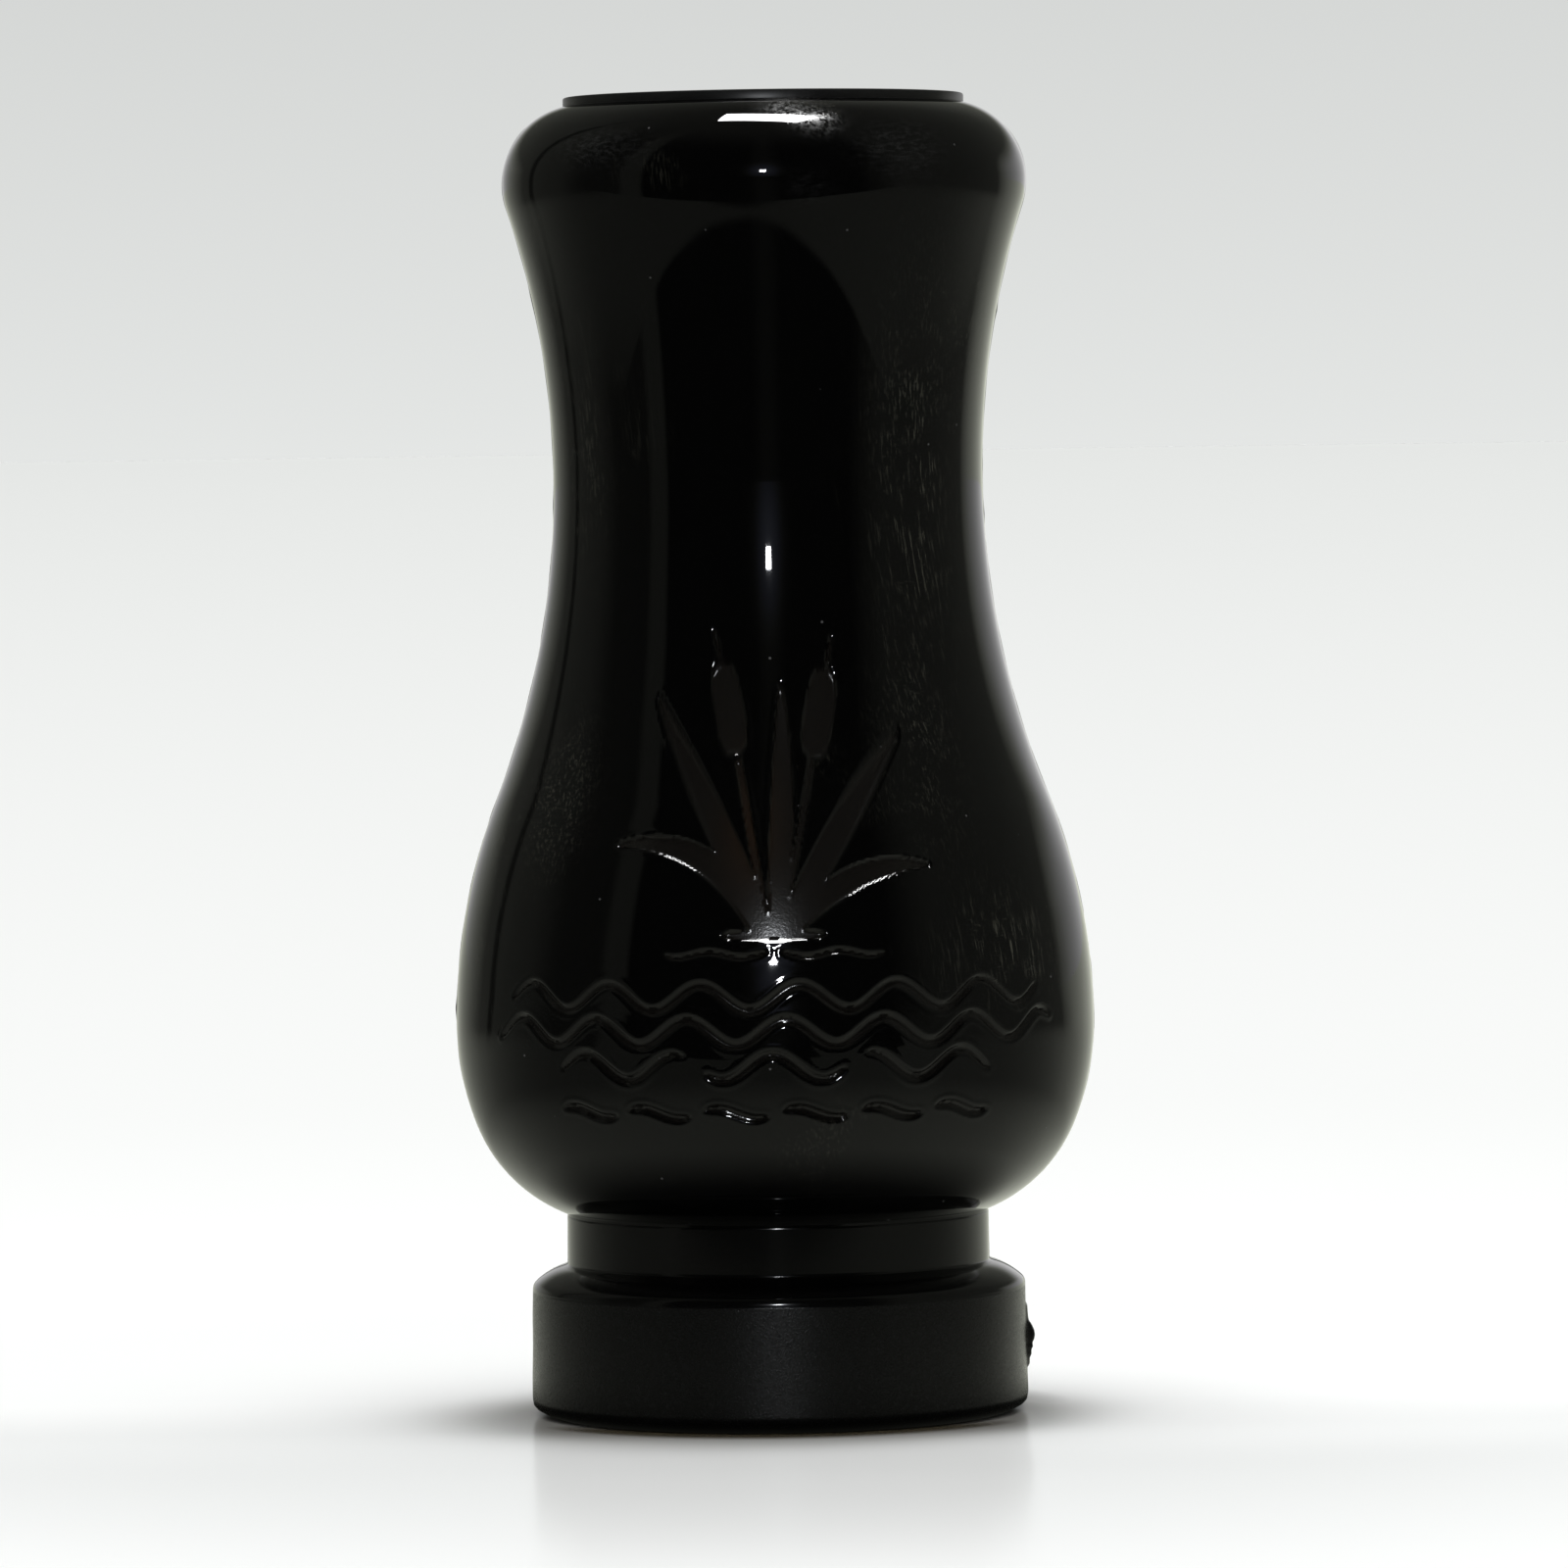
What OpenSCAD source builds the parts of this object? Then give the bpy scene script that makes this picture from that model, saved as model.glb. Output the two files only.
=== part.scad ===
// Short-reed goose call.
// A blown barrel slips over the tenon of an end insert on two O-rings. Inside, a tone channel,
// a reed and a wedge push together into the insert's socket. The call stands on its insert end.
// Millimetres. +Z runs from the foot to the mouth, the engraved front faces -Y, and the origin
// is the centre of the foot.

/* [Barrel outside] */
// Height from the foot to the mouth face
overall_h = 78; // [77:0.5:80]
// Widest diameter of the belly
belly_d = 37.8; // [37:0.1:39]
// Height of the belly's widest ring
belly_z = 23.2; // [22.8:0.1:23.6]
// Smallest diameter of the waist
waist_d = 25.4; // [24.8:0.1:26]
// Height of the waist's smallest ring
waist_z = 55.4; // [54.8:0.1:56]
// Diameter of the rolled bead below the mouth
bead_d = 31; // [30.5:0.1:31.5]
// Radius of the bead's round section
bead_r = 4.7; // [4.6:0.05:4.8]
// Outside diameter of the flat mouth rim
rim_d = 23.7; // [23:0.1:24]
// Height where the barrel meets the neck of the insert
seam_z = 11.85; // [11.7:0.05:12]

/* [Barrel inside] */
// Diameter of the main bore, which is also the socket for the insert
bore_d = 19.05; // [19.05:0.05:19.3]
// Diameter of the throat behind the lips
throat_d = 16; // [15:0.1:17]
// Straight length of the throat
throat_len = 7.5; // [6:0.5:8]
// Radius that rounds the throat into the mouth face
lip_r = 2.6; // [2:0.1:2.8]

/* [Insert] */
// Diameter of the neck, which is the lanyard groove
neck_d = 25; // [24.8:0.1:25.1]
// Width of the lanyard groove
groove_w = 2.95; // [2.7:0.05:3.1]
// Length of the tenon above the seam
tenon_len = 14.5; // [13:0.5:15]
// Radial clearance between the tenon and the barrel's bore
tenon_gap = 0.07; // [0.03:0.01:0.1]
// Diameter of the exhaust bore
exhaust_d = 12.7; // [11:0.1:13]
// Diameter of the exhaust bell at the foot
bell_d = 19.4; // [18:0.1:21]
// Diameter of the collar at its lower end
collar_d = 29.4; // [29:0.1:30]
// How much smaller the collar's diameter is at its top, the moulding draft
collar_draft = 0.2; // [0:0.02:0.3]
// Round section of the shoulder between the collar and the neck
shoulder_r = 4; // [3.6:0.1:4.4]
// Furthest that the broken gate stub stands out of the collar
gate_out = 0.5; // [0.2:0.05:0.8]

/* [O-rings] */
// Section of an O-ring, squeezed in its groove
ring_section = 1.58; // [1.4:0.02:1.62]
// Running clearance between an O-ring and the walls it touches
ring_gap = 0.01; // [0.01:0.01:0.05]
// Heights of the two O-rings above the seam
ring_heights = [3.6, 10.4];

/* [Tone channel] */
// Outside diameter of the tone channel
channel_d = 14; // [13.8:0.05:14]
// Clearance on the radius between the tone channel and its socket
socket_gap = 0.03; // [0.01:0.01:0.05]
// Length of the tone channel
channel_len = 50; // [46:1:52]
// Distance from the axis to the flat that carries the reed
flat_y = 2.4; // [2.2:0.1:2.6]
// Radius of the tone board's long curve
board_r = 330; // [300:10:400]
// Width of the open sound trough
trough_w = 6.4; // [6:0.1:7]

/* [Reed and wedge] */
// Thickness of the reed
reed_t = 0.25; // [0.2:0.01:0.3]
// Width of the reed
reed_w = 12.2; // [12:0.1:12.4]
// Length of the wedge
wedge_len = 15.4; // [14:0.1:16]

/* [Hidden] */
$fn = 128;

// Barrel arcs, each running into the next at a common tangent.
belly_upper_r = 36.2;
belly_side_r = 16.2;
belly_side_angle = 22;
belly_foot_r = 9.2;
bead_drop = 5.1;
rim_bevel = 0.12;
throat_cone_h = 3.5;
bore_chamfer = 0.5;

// Insert levels.
neck_z = seam_z - groove_w;
tenon_top = seam_z + tenon_len;
tenon_r = bore_d / 2 - tenon_gap;
socket_r = channel_d / 2 + socket_gap;
socket_floor = 8.5;
bell_h = 3.2;
neck_bevel = 0.15;
tenon_chamfer = 0.4;
groove_root_r = bore_d / 2 - 2 * ring_gap - ring_section;
groove_h = 2.1;

// Collar edges. The shoulder's round is centred this far inside the neck.
collar_top_r = (collar_d - collar_draft) / 2;
shoulder_inset = 0.8;
foot_chamfer = [1.1, 0.65];

// Tone channel and reed levels.
channel_z = socket_floor + 0.1;
channel_top = channel_z + channel_len;
base_h = 3.6;
flat_z = channel_z + base_h;
stack_gap = 0.02;
wedge_z = flat_z + 0.05;
wedge_top = wedge_z + wedge_len;
wedge_nose_angle = 25;
hole_r = trough_w / 2;
hole_y = 1.55;
trough_z = wedge_top + 1.2;
trough_end = channel_top - 3.4;
tip_chamfer = 0.8;
reed_corner = 2;
reed_len = 45.6;

// Points of an arc round c from angle a0 to a1, as [radius, height] pairs.
function arc(c, r, a0, a1, n) =
    [for (i = [0:n]) let (a = a0 + (a1 - a0) * i / n) c + r * [cos(a), sin(a)]];

// Radius of the waist circle that has its smallest ring at waist and is tangent to the round c, r.
function waist_radius(waist, c, r) =
    let (a = waist.x - c.x, h = waist.y - c.y) (a * a + h * h - r * r) / (2 * (r - a));

// Slope angle at which the waist circle meets the round at c.
function waist_slope(waist, c, r) =
    let (w = waist_radius(waist, c, r)) asin(abs(waist.y - c.y) / (r + w));

bead_c = [bead_d / 2 - bead_r, overall_h - bead_drop];
belly_c = [belly_d / 2 - belly_upper_r, belly_z];
side_c = [belly_d / 2 - belly_side_r, belly_z];
foot_c = side_c + (belly_side_r - belly_foot_r) * [cos(belly_side_angle), -sin(belly_side_angle)];
waist_p = [waist_d / 2, waist_z];

function barrel_outside() =
    let (low = waist_slope(waist_p, belly_c, belly_upper_r),
         high = waist_slope(waist_p, bead_c, bead_r),
         low_r = waist_radius(waist_p, belly_c, belly_upper_r),
         high_r = waist_radius(waist_p, bead_c, bead_r))
    concat(
        arc(foot_c, belly_foot_r, asin((seam_z - foot_c.y) / belly_foot_r), -belly_side_angle, 24),
        arc(side_c, belly_side_r, -belly_side_angle + 2, 0, 8),
        arc(belly_c, belly_upper_r, 1, low, 22),
        arc(waist_p + [low_r, 0], low_r, 180 + low - 1, 180, 20),
        arc(waist_p + [high_r, 0], high_r, 179, 180 - high, 18),
        arc(bead_c, bead_r, -high + 4, acos((rim_d / 2 - bead_c.x) / bead_r), 28));

function barrel_inside() =
    let (throat_top = overall_h - lip_r, throat_z = throat_top - throat_len)
    concat(
        [[rim_d / 2, overall_h - rim_bevel], [rim_d / 2 - rim_bevel, overall_h]],
        arc([throat_d / 2 + lip_r, throat_top], lip_r, 90, 180, 12),
        [[throat_d / 2, throat_z],
         [bore_d / 2, throat_z - throat_cone_h],
         [bore_d / 2, seam_z + bore_chamfer],
         [bore_d / 2 + bore_chamfer, seam_z]]);

// The blown half: rolled bead at the mouth, waist, belly, and a bore right through.
module barrel() {
    color("#0b0b0c")
        rotate_extrude()
            polygon(concat(barrel_outside(), barrel_inside()));
}

// The exhaust bell, curving from the foot into the exhaust bore.
function bell() =
    let (w = (bell_d - exhaust_d) / 2)
    [for (i = [0:10]) let (a = 90 * i / 10) [bell_d / 2 - w * sin(a), bell_h * (1 - cos(a))]];

// The round shoulder, from the neck down to the collar's crisp upper edge.
function shoulder() =
    let (c = [neck_d / 2 - shoulder_inset, neck_z - sqrt(shoulder_r ^ 2 - shoulder_inset ^ 2)])
    arc(c, shoulder_r, acos(shoulder_inset / shoulder_r),
        acos((collar_top_r - c.x) / shoulder_r), 12);

// The other half: foot collar, neck and a tenon with two grooves for the O-rings. The exhaust
// bore runs up from the foot and widens into the socket for the tone channel.
module insert() {
    color("#101011") {
        difference() {
            rotate_extrude()
                polygon(concat(
                    bell(),
                    [[exhaust_d / 2, socket_floor], [socket_r, socket_floor],
                     [socket_r, tenon_top], [tenon_r - tenon_chamfer, tenon_top],
                     [tenon_r, tenon_top - tenon_chamfer], [tenon_r, seam_z],
                     [neck_d / 2 - neck_bevel, seam_z], [neck_d / 2, seam_z - neck_bevel]],
                    shoulder(),
                    [[collar_d / 2, foot_chamfer.y], [collar_d / 2 - foot_chamfer.x, 0]]));
            for (h = ring_heights)
                translate([0, 0, seam_z + h - groove_h / 2])
                    ring_groove();
        }
        gate_stub();
    }
}

// Cutter for one O-ring groove, standing on z = 0.
module ring_groove() {
    difference() {
        cylinder(r = tenon_r + 1, h = groove_h);
        translate([0, 0, -1])
            cylinder(r = groove_root_r, h = groove_h + 2);
    }
}

// The broken-off gate on the +X side: a fin in the parting plane, torn along its outer edge.
// Each point is a share of gate_out and a height.
module gate_stub() {
    fin_w = 1.1;
    edge = [[0, 2.5], [0.45, 2.9], [0.5, 3.4], [0.8, 3.6], [0.8, 4.05],
            [1, 4.4], [0.65, 5.1], [0.25, 5.5], [0.35, 6.1], [0, 6.3]];
    root = collar_top_r - 1;
    translate([0, fin_w / 2, 0])
        rotate([90, 0, 0])
            linear_extrude(fin_w)
                polygon(concat(
                    [[root, edge[0].y]],
                    [for (p = edge) [collar_top_r + 0.04 + gate_out * p.x, p.y]],
                    [[root, edge[len(edge) - 1].y]]));
}

// One O-ring, seated in its groove at height h above the seam.
module o_ring(h) {
    color("#151312")
        translate([0, 0, seam_z + h])
            rotate_extrude()
                translate([groove_root_r + ring_gap + ring_section / 2, 0])
                    circle(r = ring_section / 2, $fn = 64);
}

// Round base, then a D-shaped stem whose flat turns into the curved tone board, with the sound
// trough open along it and a hole from the trough down through the base.
module tone_channel() {
    color("#e8e4d8")
        difference() {
            translate([0, 0, channel_z])
                cylinder(d = channel_d, h = channel_len);
            // The flat for the reed and the wedge.
            translate([-channel_d, -channel_d, flat_z])
                cube([2 * channel_d, channel_d - flat_y, channel_top]);
            // The tone board falls away from the reed on a long radius.
            difference() {
                translate([-channel_d, -channel_d, wedge_top])
                    cube([2 * channel_d, channel_d - flat_y + 3, channel_top]);
                translate([-2 * channel_d, board_r - flat_y, wedge_top])
                    rotate([0, 90, 0])
                        cylinder(r = board_r, h = 4 * channel_d, $fn = 512);
            }
            // The sound hole up from the base.
            translate([0, hole_y, channel_z - 1])
                cylinder(r = hole_r, h = trough_end - hole_r - channel_z + 1);
            // The open trough, round at its far end.
            translate([-hole_r, -channel_d / 2, trough_z])
                cube([trough_w, channel_d / 2 + hole_y, trough_end - hole_r - trough_z]);
            translate([0, hole_y, trough_end - hole_r])
                rotate([90, 0, 0])
                    cylinder(r = hole_r, h = channel_d);
            translate([0, hole_y, trough_end - hole_r])
                sphere(r = hole_r);
            // The bevelled back of the tip.
            translate([-channel_d, channel_d / 2 - tip_chamfer, channel_top])
                rotate([45, 0, 0])
                    cube([2 * channel_d, 2 * channel_d, 2 * channel_d]);
        }
}

// A strip of film with a round-cornered tip, lying on the flat.
module reed() {
    color("#d9dcd6")
        translate([0, -flat_y - stack_gap, wedge_z])
            rotate([90, 0, 0])
                linear_extrude(reed_t) {
                    translate([-reed_w / 2, 0])
                        square([reed_w, reed_len - reed_corner]);
                    translate([-reed_w / 2 + reed_corner, 0])
                        square([reed_w - 2 * reed_corner, reed_len]);
                    for (side = [-1, 1])
                        translate([side * (reed_w / 2 - reed_corner), reed_len - reed_corner])
                            circle(r = reed_corner);
                }
}

// The segment that fills the socket over the reed and holds it down on the flat. Its nose
// slopes back from the clamping edge.
module wedge() {
    face_y = flat_y + reed_t + 2 * stack_gap;
    color("#161616")
        difference() {
            translate([0, 0, wedge_z])
                cylinder(d = channel_d, h = wedge_len);
            translate([-channel_d, -face_y, 0])
                cube([2 * channel_d, 2 * channel_d, 2 * channel_top]);
            translate([-channel_d, -face_y, wedge_top])
                rotate([wedge_nose_angle, 0, 0])
                    translate([0, -channel_d, 0])
                        cube([2 * channel_d, 2 * channel_d, channel_d]);
        }
}

barrel();
insert();
o_ring(ring_heights[0]);  // o_ring_lower
o_ring(ring_heights[1]);  // o_ring_upper
tone_channel();
reed();
wedge();
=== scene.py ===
"""Short-reed goose call: detailed pieces, materials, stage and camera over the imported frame."""

import math
import random

import bpy
import numpy as np
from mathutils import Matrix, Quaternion, Vector

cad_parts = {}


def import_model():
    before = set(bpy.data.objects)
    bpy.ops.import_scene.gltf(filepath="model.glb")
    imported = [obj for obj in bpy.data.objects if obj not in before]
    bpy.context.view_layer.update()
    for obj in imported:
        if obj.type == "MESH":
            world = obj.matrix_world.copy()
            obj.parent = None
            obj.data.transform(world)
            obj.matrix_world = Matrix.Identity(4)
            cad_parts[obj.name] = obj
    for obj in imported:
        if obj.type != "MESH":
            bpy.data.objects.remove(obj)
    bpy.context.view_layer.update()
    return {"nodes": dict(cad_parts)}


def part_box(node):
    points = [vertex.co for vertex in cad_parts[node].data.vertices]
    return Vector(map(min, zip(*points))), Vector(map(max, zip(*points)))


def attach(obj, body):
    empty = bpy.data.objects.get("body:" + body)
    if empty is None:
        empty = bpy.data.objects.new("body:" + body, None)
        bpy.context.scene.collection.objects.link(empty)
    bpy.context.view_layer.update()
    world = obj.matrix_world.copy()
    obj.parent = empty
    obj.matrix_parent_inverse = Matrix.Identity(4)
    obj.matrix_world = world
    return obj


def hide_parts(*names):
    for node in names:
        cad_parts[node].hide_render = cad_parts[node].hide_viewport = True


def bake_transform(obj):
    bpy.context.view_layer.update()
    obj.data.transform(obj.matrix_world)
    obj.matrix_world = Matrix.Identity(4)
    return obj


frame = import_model()
MM = 0.001


# ---------------------------------------------------------------- dimensions, in millimetres
def box_mm(node):
    """Low and high corners of a CAD node's box."""
    return [np.array(corner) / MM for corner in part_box(node)]


barrel_lo, barrel_hi = box_mm("barrel")
reed_lo, reed_hi = box_mm("reed")

# Barrel, outside: the belly's three curves, the waist, the bead's round and the flat rim.
TOP = barrel_hi[2]
SEAM = barrel_lo[2]
BARREL_LAND = 0.14
BELLY_R = (barrel_hi[0] - barrel_lo[0]) / 2
BELLY_Z = 23.2
BELLY_FOOT = 9.2
BELLY_SIDE = 16.2
BELLY_SIDE_ANGLE = 22
BELLY_UPPER = 36.2
WAIST_R = 12.7
WAIST_Z = 55.4
BEAD_R = 15.5
BEAD_ROUND = 4.7
BEAD_DROP = 5.1
RIM_R = 11.85
RIM_BEVEL = 0.12
# Barrel, inside: the mouth's lip, the throat, the cone below it and the bore.
LIP = 2.6
THROAT_R = 8.0
THROAT_LEN = 7.5
THROAT_CONE = 3.5
BORE_R = 9.525
BORE_BEVEL = 0.5
# Insert: neck, shoulder, collar and foot.
NECK_R = 12.5
NECK_H = 2.95
NECK_Z = SEAM - NECK_H
NECK_BEVEL = 0.04
NECK_FILLET = 0.12
SHOULDER = 4.0
SHOULDER_INSET = 0.8
COLLAR_R = 14.7
COLLAR_TOP_R = 14.6
EDGE_ROUND = 0.32
FOOT_EDGE_TOP = 0.9
FOOT_EDGE = ((0.05, 0.62), (0.22, 0.42), (0.62, 0.2), (1.05, 0.03), (1.15, 0.0))
# Insert, inside: bell, exhaust bore, socket, and the tenon with its two O-ring grooves.
BELL_R = 9.7
BELL_H = 3.2
EXHAUST_R = 6.35
SOCKET_FLOOR = 8.5
SOCKET_R = 7.03
SOCKET_BEVEL = 0.25
TENON_R = 9.455
TENON_TOP = box_mm("insert")[1][2]
TENON_BEVEL = 0.4
GROOVE_ROOT = 7.925
GROOVE_H = 2.1
RING_HEIGHTS = (3.6, 10.4)
# Mesh steps.
FINE = 0.14
INSERT_STEP = 0.11
LONG_STEP = 4.0
SHARP_ANGLE = 38


# ---------------------------------------------------------------- profiles
def arc(c, r, a0, a1, step):
    """Points on an arc about c from angle a0 to a1 in degrees, at most step apart."""
    n = max(2, math.ceil(abs(math.radians(a1 - a0)) * r / step))
    a = np.radians(np.linspace(a0, a1, n + 1))
    return np.c_[c[0] + r * np.cos(a), c[1] + r * np.sin(a)]


def bezier(start, bend, end, count=22):
    t = np.linspace(0, 1, count)[:, None]
    return (1 - t) ** 2 * np.array(start) + 2 * t * (1 - t) * np.array(bend) + t ** 2 * np.array(end)


def path(points, step):
    """Straight runs through the points, split so that no piece is longer than step."""
    out = [np.array(points[0], float)]
    for p, q in zip(points[:-1], points[1:]):
        p, q = np.array(p, float), np.array(q, float)
        n = max(1, math.ceil(np.linalg.norm(q - p) / step))
        out += [p + (q - p) * i / n for i in range(1, n + 1)]
    return np.array(out)


def waist_circle(waist, c, r):
    """Radius and end slope of the circle through the waist point that touches the round at c."""
    a, h = waist[0] - c[0], waist[1] - c[1]
    w = (a * a + h * h - r * r) / (2 * (r - a))
    return w, math.degrees(math.asin(abs(h) / (r + w)))


def drop_repeats(points):
    """The points without those that repeat the one before."""
    keep = np.r_[True, np.linalg.norm(np.diff(points, axis=0), axis=1) > 1e-4]
    return points[keep]


def barrel_profile():
    """Closed section of the barrel: up the outside, over the rim and down the bore."""
    waist = np.array([WAIST_R, WAIST_Z])
    bead = np.array([BEAD_R - BEAD_ROUND, TOP - BEAD_DROP])
    upper = np.array([BELLY_R - BELLY_UPPER, BELLY_Z])
    side = np.array([BELLY_R - BELLY_SIDE, BELLY_Z])
    turn = math.radians(BELLY_SIDE_ANGLE)
    foot = side + (BELLY_SIDE - BELLY_FOOT) * np.array([math.cos(turn), -math.sin(turn)])
    low_r, low = waist_circle(waist, upper, BELLY_UPPER)
    high_r, high = waist_circle(waist, bead, BEAD_ROUND)
    start = math.degrees(math.asin((SEAM + BARREL_LAND - foot[1]) / BELLY_FOOT))
    land_r = foot[0] + BELLY_FOOT * math.cos(math.radians(start))
    rim = math.degrees(math.acos((RIM_R - bead[0]) / BEAD_ROUND))
    coarse = 2.4 * FINE
    throat_top = TOP - LIP
    throat_z = throat_top - THROAT_LEN
    outside = np.vstack([
        [[land_r, SEAM], [land_r, SEAM + BARREL_LAND / 2]],
        arc(foot, BELLY_FOOT, start, -BELLY_SIDE_ANGLE, coarse),
        arc(side, BELLY_SIDE, -BELLY_SIDE_ANGLE, 0, FINE),
        arc(upper, BELLY_UPPER, 0, low, FINE),
        arc(waist + [low_r, 0], low_r, 180 + low, 180, coarse),
        arc(waist + [high_r, 0], high_r, 180, 180 - high, 2 * coarse),
        arc(bead, BEAD_ROUND, -high, rim, coarse),
    ])
    inside = np.vstack([
        [[RIM_R, TOP - RIM_BEVEL], [RIM_R - 0.3 * RIM_BEVEL, TOP - 0.3 * RIM_BEVEL],
         [RIM_R - RIM_BEVEL, TOP]],
        arc([THROAT_R + LIP, throat_top], LIP, 90, 180, coarse),
        path([[THROAT_R, throat_top], [THROAT_R, throat_z], [BORE_R, throat_z - THROAT_CONE],
              [BORE_R, SEAM + BORE_BEVEL], [BORE_R + BORE_BEVEL, SEAM]], LONG_STEP),
    ])
    return drop_repeats(np.vstack([outside, inside]))


def tenon_outline():
    """Down the tenon from its tip, through both O-ring grooves, to the neck's upper edge."""
    points = [[TENON_R - TENON_BEVEL, TENON_TOP], [TENON_R, TENON_TOP - TENON_BEVEL]]
    for height in reversed(RING_HEIGHTS):
        upper, lower = SEAM + height + GROOVE_H / 2, SEAM + height - GROOVE_H / 2
        points += [[TENON_R, upper], [GROOVE_ROOT, upper], [GROOVE_ROOT, lower], [TENON_R, lower]]
    return points + [
        [TENON_R, SEAM], [NECK_R - NECK_BEVEL, SEAM],
        [NECK_R - 0.3 * NECK_BEVEL, SEAM - 0.3 * NECK_BEVEL], [NECK_R, SEAM - NECK_BEVEL],
        [NECK_R, SEAM - 3 * NECK_BEVEL], [NECK_R, NECK_Z + 2 * NECK_FILLET],
    ]


def insert_profile():
    """Closed section of the insert: up from the foot and over the tenon, down the socket."""
    a = np.radians(np.linspace(0, 90, 15))
    bell = np.c_[BELL_R - (BELL_R - EXHAUST_R) * np.sin(a), BELL_H * (1 - np.cos(a))]
    drop = math.sqrt(SHOULDER ** 2 - SHOULDER_INSET ** 2)
    centre = np.array([NECK_R - SHOULDER_INSET, NECK_Z - drop])
    neck_angle = math.degrees(math.acos(SHOULDER_INSET / SHOULDER))
    edge_angle = math.degrees(math.acos((COLLAR_TOP_R - centre[0]) / SHOULDER))
    edge_z = centre[1] + SHOULDER * math.sin(math.radians(edge_angle))
    lap = 4
    last = math.radians(edge_angle + lap)
    shoulder_end = centre + SHOULDER * np.array([math.cos(last), math.sin(last)])
    return drop_repeats(np.vstack([
        bell,
        path([[EXHAUST_R, BELL_H], [EXHAUST_R, SOCKET_FLOOR], [SOCKET_R, SOCKET_FLOOR],
              [SOCKET_R, TENON_TOP - SOCKET_BEVEL], [SOCKET_R + SOCKET_BEVEL, TENON_TOP]], 3.0),
        path(tenon_outline(), 3.0),
        arc([NECK_R + NECK_FILLET, NECK_Z + NECK_FILLET], NECK_FILLET, 180, 250, 0.04),
        arc(centre, SHOULDER, neck_angle - lap, edge_angle + lap, INSERT_STEP),
        bezier(shoulder_end, (COLLAR_TOP_R, edge_z), (COLLAR_TOP_R, edge_z - EDGE_ROUND), 9),
        path([[COLLAR_TOP_R, edge_z - EDGE_ROUND], [COLLAR_R, FOOT_EDGE_TOP]], INSERT_STEP),
        [[COLLAR_R - inset, height] for inset, height in FOOT_EDGE],
    ])[::-1])


def angles(front, fine, coarse):
    """Azimuths round the axis, 0 on +X and 270 on the front, closer in front and at the parting."""
    rows = [np.arange(0, 360, coarse)]
    if front:
        rows.append(np.arange(270 - front, 270 + front + fine / 2, fine))
    near = np.r_[0, np.geomspace(0.12, 3.2, 13)]
    for side in (0, 180):
        rows += [side + near, side - near]
    a = np.unique(np.round(np.concatenate(rows) % 360, 4))
    if front:
        inner = (a > 270 - front) & (a < 270 + front)
        on_fine = np.isclose(((a - 270 + front) / fine) % 1, 0, atol=0.02) \
            | np.isclose(((a - 270 + front) / fine) % 1, 1, atol=0.02)
        a = a[~inner | on_fine]
    return a


def revolve(name, profile, azimuths, detail):
    """Closed surface of revolution; detail gives millimetres outward and a mark per vertex."""
    tangent = np.roll(profile, -1, 0) - np.roll(profile, 1, 0)
    tangent /= np.linalg.norm(tangent, axis=1)[:, None]
    normal = np.c_[tangent[:, 1], -tangent[:, 0]]
    a = azimuths[None, :]
    r = np.repeat(profile[:, :1], len(azimuths), 1)
    z = np.repeat(profile[:, 1:], len(azimuths), 1)
    out, mark = detail(np.repeat(a, len(profile), 0), r, z, normal)
    r = r + out * normal[:, :1]
    z = z + out * normal[:, 1:]
    t = np.radians(a)
    co = np.stack([r * np.cos(t), r * np.sin(t), z], -1).reshape(-1, 3) * MM
    n, m = r.shape
    i, j = np.meshgrid(np.arange(n), np.arange(m), indexing="ij")
    i2, j2 = (i + 1) % n, (j + 1) % m
    quads = np.stack([i * m + j, i * m + j2, i2 * m + j2, i2 * m + j], -1).reshape(-1, 4)
    return mesh_object(name, co, quads, mark.reshape(-1))


def mesh_object(name, co, quads, mark=None):
    """Smooth quad mesh in the scene; mark is a value per vertex that the materials read."""
    mesh = bpy.data.meshes.new(name)
    mesh.vertices.add(len(co))
    mesh.vertices.foreach_set("co", np.ascontiguousarray(co, np.float32).ravel())
    mesh.loops.add(quads.size)
    mesh.loops.foreach_set("vertex_index", np.ascontiguousarray(quads, np.int32).ravel())
    mesh.polygons.add(len(quads))
    mesh.polygons.foreach_set("loop_start", np.arange(0, quads.size, 4, dtype=np.int32))
    mesh.update(calc_edges=True)
    mesh.validate()
    mesh.polygons.foreach_set("use_smooth", np.ones(len(quads), bool))
    mesh.set_sharp_from_angle(angle=math.radians(SHARP_ANGLE))
    if mark is not None:
        layer = mesh.attributes.new("engraved", "FLOAT", "POINT")
        layer.data.foreach_set("value", mark.astype(np.float32))
    obj = bpy.data.objects.new(name, mesh)
    bpy.context.scene.collection.objects.link(obj)
    return obj


# ---------------------------------------------------------------- engraving: marsh plants, ripples
EMBLEM_R = 17.5
FIELD_HALF = 19.6
FIELD_Z = (17.0, 47.5)
POCKET_DEPTH = 0.2
LINE_DEPTH = 0.2
CUT_EDGE = 0.06
BURR_WIDTH = 0.1
LEAF_TIP = 0.14
# Distance that stands for "no stroke near".
FAR = 9.0


def leaf(base, bend, tip, width):
    """Stroke of one leaf, narrow at its base and closing to a point."""
    points = bezier(base, bend, tip)
    t = np.linspace(0, 1, len(points))
    return points, LEAF_TIP + width * np.sin(math.pi * np.clip(0.18 + 0.82 * t, 0, 1)) ** 0.8


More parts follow.
